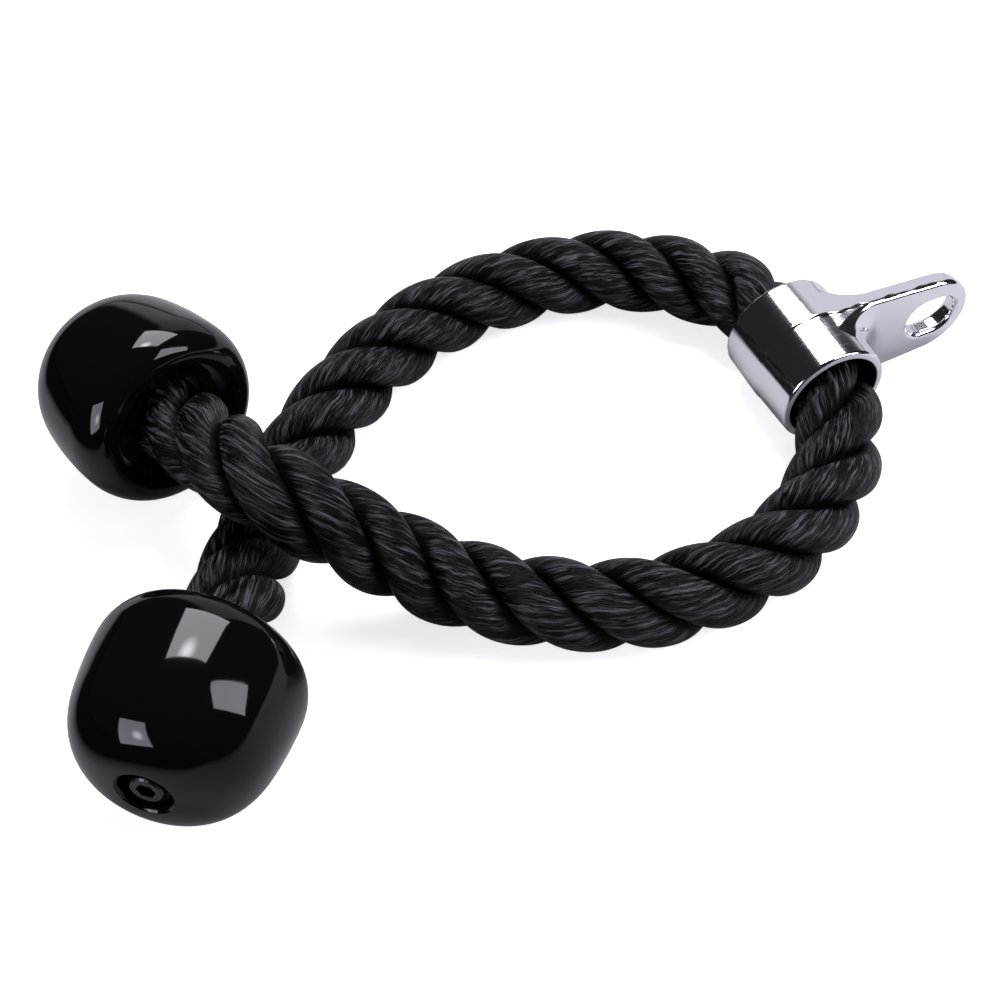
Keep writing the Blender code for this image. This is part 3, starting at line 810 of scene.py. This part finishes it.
def rope_material(yarns):
    """Silky black yarns with painted sheen, and painted shade deep in the grooves between the strands."""
    material, tree, shader = new_material("silky_black_rope", Specular_IOR_Level=FIBRE_SPECULAR)
    uv = put(tree, "ShaderNodeUVMap", uv_map="UVMap")
    group = put(tree, "ShaderNodeGroup", node_tree=yarns)
    tree.links.new(uv.outputs[0], group.inputs["Place"])
    groove = put(tree, "ShaderNodeAttribute", attribute_name="groove")
    # Painted shade: the light yarn colour fades out deep in the grooves between strands
    shown = ranged(tree, groove.outputs["Fac"], GROOVE_SHADE_BEGINS, (1.0, GROOVE_SHADE_SHOWN))
    tree.links.new(shown, group.inputs["Shown"])
    group.inputs["Dark"].default_value = (*FIBRE_DARK, 1.0)
    group.inputs["Light"].default_value = (*FIBRE_SHEEN_LIGHT, 1.0)
    tree.links.new(group.outputs["Color"], shader.inputs["Base Color"])
    tree.links.new(group.outputs["Roughness"], shader.inputs["Roughness"])
    bumped(tree, shader, group.outputs["Height"], YARN_DEPTH)
    return material


def marked_material(name, marks, **sockets):
    """A smooth finish with a faint ripple and hairlines."""
    colour, metallic, ripple, smooth, worn = FINISHES[name]
    material, tree, shader = new_material(name, Metallic=metallic, **sockets)
    shader.inputs["Base Color"].default_value = (*colour, 1.0)
    group = put(tree, "ShaderNodeGroup", node_tree=marks)
    group.inputs["Ripple"].default_value = ripple
    group.inputs["Smooth"].default_value = smooth
    group.inputs["Worn"].default_value = worn
    tree.links.new(group.outputs["Roughness"], shader.inputs["Roughness"])
    bumped(tree, shader, group.outputs["Height"], MARKS_DEPTH)
    return material


def sleeve_material(marks):
    """Polished chrome, ground matt on the mouths' end faces, and rough inside the bore, where shade is
    painted as a near-black colour.
    """
    material = marked_material("bright_chrome", marks)
    tree = material.node_tree
    shader = tree.nodes["Principled BSDF"]
    polish = shader.inputs["Roughness"].links[0].from_socket
    place = put(tree, "ShaderNodeTexCoord")
    middle = put(tree, "ShaderNodeMapping", {"Vector": place.outputs["Object"],
                                             "Location": (-SLEEVE_X, -SLEEVE_Y, -SLEEVE_RADIUS)})
    parts = put(tree, "ShaderNodeSeparateXYZ", {0: middle.outputs[0]})
    spoke = put(tree, "ShaderNodeCombineXYZ", {"X": parts.outputs["X"], "Z": parts.outputs["Z"]})
    radial = put(tree, "ShaderNodeVectorMath", {0: spoke.outputs[0]}, operation="LENGTH")
    bore_begins = [SLEEVE_BORE_RADIUS + outside for outside in BORE_DULL_FROM]
    inner = ranged(tree, radial.outputs["Value"], bore_begins)
    # Painted shade: the colour turns near black inside the bore
    tree.links.new(blend(tree, inner, CHROME, BORE_SHADE_COLOUR), shader.inputs["Base Color"])
    end = put(tree, "ShaderNodeMath", {0: parts.outputs["Y"]}, operation="ABSOLUTE")
    end_begins = [SLEEVE_LENGTH / 2 - inside for inside in GROUND_FROM]
    ground = ranged(tree, end.outputs[0], end_begins)
    dull = put(tree, "ShaderNodeMath", {0: ground, 1: inner}, operation="MAXIMUM")
    rough = ranged(tree, dull.outputs[0], (0.0, 1.0), (polish, GROUND_ROUGHNESS))
    tree.links.new(rough, shader.inputs["Roughness"])
    return material


def add_camera():
    """The photograph's place and angle."""
    camera = bpy.data.objects.new("camera", bpy.data.cameras.new("camera"))
    bpy.context.scene.collection.objects.link(camera)
    camera.data.lens = CAMERA_LENS
    camera.data.sensor_width = CAMERA_SENSOR
    camera.location = CAMERA_PLACE
    look = Vector(CAMERA_AIM) - Vector(CAMERA_PLACE)
    camera.rotation_euler = look.to_track_quat("-Z", "Y").to_euler()
    camera.data.clip_start = CAMERA_NEAR
    bpy.context.scene.camera = camera


def add_lamp(name, place, back, side, size, radiance, colour, hot_spot, hot):
    """A soft box of this width and height, at this place from LAMPS_FACE. back is the way out of its rear
    side, and side is the way of its width. Its power is its radiance times pi and its area, and it glows hot
    times as strongly at its hot spot."""
    width, height = size
    light = bpy.data.lights.new(name, "AREA")
    light.shape = "RECTANGLE"
    light.size = width
    light.size_y = height
    light.energy = radiance * math.pi * width * height
    light.color = colour
    light.use_nodes = True
    tree = light.node_tree
    spread = put(tree, "ShaderNodeNewGeometry")
    gap = put(tree, "ShaderNodeVectorMath", {0: spread.outputs["Parametric"], 1: (*hot_spot, 0.0)},
              operation="DISTANCE")
    glow = ranged(tree, gap.outputs["Value"], (0.0, HOT_SPOT_REACH), (hot, 1.0), "SMOOTHSTEP")
    tree.links.new(glow, tree.nodes["Emission"].inputs["Strength"])
    lamp = bpy.data.objects.new(name, light)
    bpy.context.scene.collection.objects.link(lamp)
    out = Vector(back).normalized()
    up = out.cross(Vector(side)).normalized()
    turn = Matrix((up.cross(out), up, out)).transposed().to_4x4()
    lamp.matrix_world = Matrix.Translation(Vector(LAMPS_FACE) + Vector(place)) @ turn
    lamp.visible_camera = False


def add_floor():
    """A white table. It keeps the object's shadow, is lifted to white for the camera, more so far out, and is
    darker in reflections, most of all past its left end."""
    half = TABLE_HALF
    points = np.array([(-half, -half, 0.0), (half, -half, 0.0), (half, half, 0.0), (-half, half, 0.0)])
    points[:, 2] = TABLE_HEIGHT
    floor = mesh_object("floor", points, [np.array([[0, 1, 2, 3]])])
    material, tree, shader = new_material("white_table", Roughness=TABLE_ROUGHNESS, Specular_IOR_Level=0.0)
    path = put(tree, "ShaderNodeLightPath")
    place = put(tree, "ShaderNodeTexCoord")
    parts = put(tree, "ShaderNodeSeparateXYZ", {0: place.outputs["Object"]})
    end_begins = (TABLE_END + TABLE_END_SOFT, TABLE_END - TABLE_END_SOFT)
    past = ranged(tree, parts.outputs["X"], end_begins)
    mirrored = blend(tree, past, TABLE_MIRRORED, TABLE_END_MIRRORED)
    colour = blend(tree, path.outputs["Is Glossy Ray"], TABLE_WHITE, mirrored)
    bounced = blend(tree, path.outputs["Is Diffuse Ray"], colour, TABLE_BOUNCED)
    tree.links.new(bounced, shader.inputs["Base Color"])
    far = put(tree, "ShaderNodeVectorMath", {0: place.outputs["Object"]}, operation="LENGTH")
    lift = ranged(tree, far.outputs["Value"], TABLE_LIFT_FROM, TABLE_LIFT)
    seen = put(tree, "ShaderNodeMath", {0: path.outputs["Is Camera Ray"], 1: lift}, operation="MULTIPLY")
    shader.inputs["Emission Color"].default_value = (1.0, 1.0, 1.0, 1.0)
    tree.links.new(seen.outputs[0], shader.inputs["Emission Strength"])
    floor.data.materials.append(material)


def set_world():
    """White for the camera, and a soft fill on the object. Reflections show a dark room with a pale backdrop
    behind the table. Its top rises from low at the right, stays level, and falls to low at the left."""
    world = bpy.data.worlds.new("studio")
    world.use_nodes = True
    tree = world.node_tree
    back = tree.nodes["Background"]
    path = put(tree, "ShaderNodeLightPath")
    way = put(tree, "ShaderNodeTexCoord")
    parts = put(tree, "ShaderNodeSeparateXYZ", {0: way.outputs["Generated"]})
    heading = put(tree, "ShaderNodeMath", {0: parts.outputs["Y"], 1: parts.outputs["X"]}, operation="ARCTAN2")
    height = put(tree, "ShaderNodeMath", {0: parts.outputs["Z"]}, operation="ARCSINE")
    right = ranged(tree, heading.outputs[0], BACKDROP_RIGHT, (BACKDROP_LOW, BACKDROP_TOP))
    left = ranged(tree, heading.outputs[0], BACKDROP_LEFT, (BACKDROP_TOP, BACKDROP_LOW))
    top = put(tree, "ShaderNodeMath", {0: right, 1: left}, operation="MINIMUM")
    above = put(tree, "ShaderNodeMath", {0: height.outputs[0], 1: top.outputs[0]}, operation="SUBTRACT")
    pale = ranged(tree, above.outputs[0], BACKDROP_EDGE, BACKDROP_STRENGTH, "SMOOTHSTEP")
    fill = put(tree, "ShaderNodeMix", {"Factor": path.outputs["Is Glossy Ray"], "A": FILL, "B": pale})
    whole = put(tree, "ShaderNodeMath", {0: path.outputs["Is Camera Ray"], 1: fill.outputs[0]},
                operation="MAXIMUM")
    tree.links.new(whole.outputs[0], back.inputs["Strength"])
    colour = blend(tree, path.outputs["Is Glossy Ray"], (1.0, 1.0, 1.0), BACKDROP_COLOUR)
    tree.links.new(colour, back.inputs["Color"])
    bpy.context.scene.world = world


def arm_line(side, out, end_frame):
    """The whole middle line of one arm, from inside the sleeve's mouth to its ferrule: a straight start, the
    spline through its route, and a straight end along the stopper's way."""
    middle, way = end_frame[:2]
    seam = np.array([SLEEVE_X, SLEEVE_Y + out * (SLEEVE_LENGTH / 2 - MOUTH_REACH), HELD_ROPE_HEIGHT])
    start = seam + (0.0, out * STRAIGHT_REACH, 0.0)
    route = [start, *ROUTES[side], middle + way * CREST_PLACE]
    line = smooth_line(route, (0.0, out, 0.0), way)
    return np.concatenate([[seam], line, [middle + way * ARM_END]])


def add_rope(material):
    """Both free arms, the stretch held in the sleeve, and the ends held in the ferrules."""
    reach = SLEEVE_LENGTH / 2 - MOUTH_REACH
    for side, out in (("lower", 1.0), ("upper", -1.0)):
        end_frame = stopper_frame(side)
        middle, way = end_frame[:2]
        line = arm_line(side, out, end_frame)
        lay = LAY[side]
        begin = FIRST_ANGLE[side] - 2 * math.pi * reach / lay
        arm = laid_rope(side + "_arm_strands", line, lay, begin, narrow_end=True)
        dress(arm, side + "_arm", material, ["rope_" + side + "_arm"])
        path, distance = even_line(line, CORD_STEP)
        turn = begin - 2 * math.pi * distance[-1] / lay
        inner_places = np.array([ARM_END + SEAT_GAP, FERRULE_FLOOR - SEAT_GAP])
        inner_line = middle + inner_places[:, None] * way
        inner = laid_rope(side + "_end_strands", inner_line, lay, turn, scale=HELD_END_RADIUS / ROPE_RADIUS)
        dress(inner, side + "_arm", material, [side + "_rope_end"])
    held_reach = reach - SEAT_GAP
    ends = [(SLEEVE_X, SLEEVE_Y + along, HELD_ROPE_HEIGHT) for along in (-held_reach, held_reach)]
    last_turn = FIRST_ANGLE["lower"] - 2 * math.pi * held_reach / LAY["lower"]
    first_turn = math.pi - FIRST_ANGLE["upper"] + 2 * math.pi * held_reach / LAY["upper"]
    held_lay = 2 * math.pi * 2 * held_reach / (first_turn - last_turn)
    held = laid_rope("held_strands", np.array(ends), held_lay, first_turn)
    dress(held, "lower_arm", material, ["rope_middle"])


def add_stoppers(material):
    """Both stoppers, turned from the same profile."""
    for side in STOPPER_PLACES:
        stopper = turned(side + "_stopper_moulding", stopper_profile(), stopper_frame(side))
        dress(stopper, side + "_arm", material, [side + "_stopper"])


def add_sleeve(material):
    """The cast sleeve, worked out on a grid that is a little larger than its solid's box."""
    low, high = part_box("eye_sleeve")
    margin = 3 * FIELD_STEP
    start = [c - margin for c in low]
    end = [c + margin for c in high]
    sleeve = level_surface("cast_eye_sleeve", sleeve_field, start, end)
    dress(sleeve, "sleeve", material, ["eye_sleeve"])


def repaint(node, material):
    """Give a solid of the model this finish."""
    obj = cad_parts[node]
    obj.data.materials.clear()
    obj.data.materials.append(material)


add_camera()
marks = marks_group()
rope_finish = rope_material(yarn_group())
black_finish = marked_material("glossy_black", marks, IOR=MOULDING_IOR)
chrome_finish = sleeve_material(marks)
screw_finish = marked_material("black_oxide", marks)
zinc_finish = marked_material("zinc_washer", marks)
ferrule_finish = marked_material("steel_ferrule", marks)

add_rope(rope_finish)
add_stoppers(black_finish)
add_sleeve(chrome_finish)
for side in STOPPER_PLACES:
    repaint(side + "_screw", screw_finish)
    repaint(side + "_washer", zinc_finish)
    repaint(side + "_ferrule", ferrule_finish)

add_floor()
set_world()
for name, lamp in LAMPS.items():
    add_lamp(name, **lamp)
bpy.context.scene.view_settings.view_transform = "Standard"
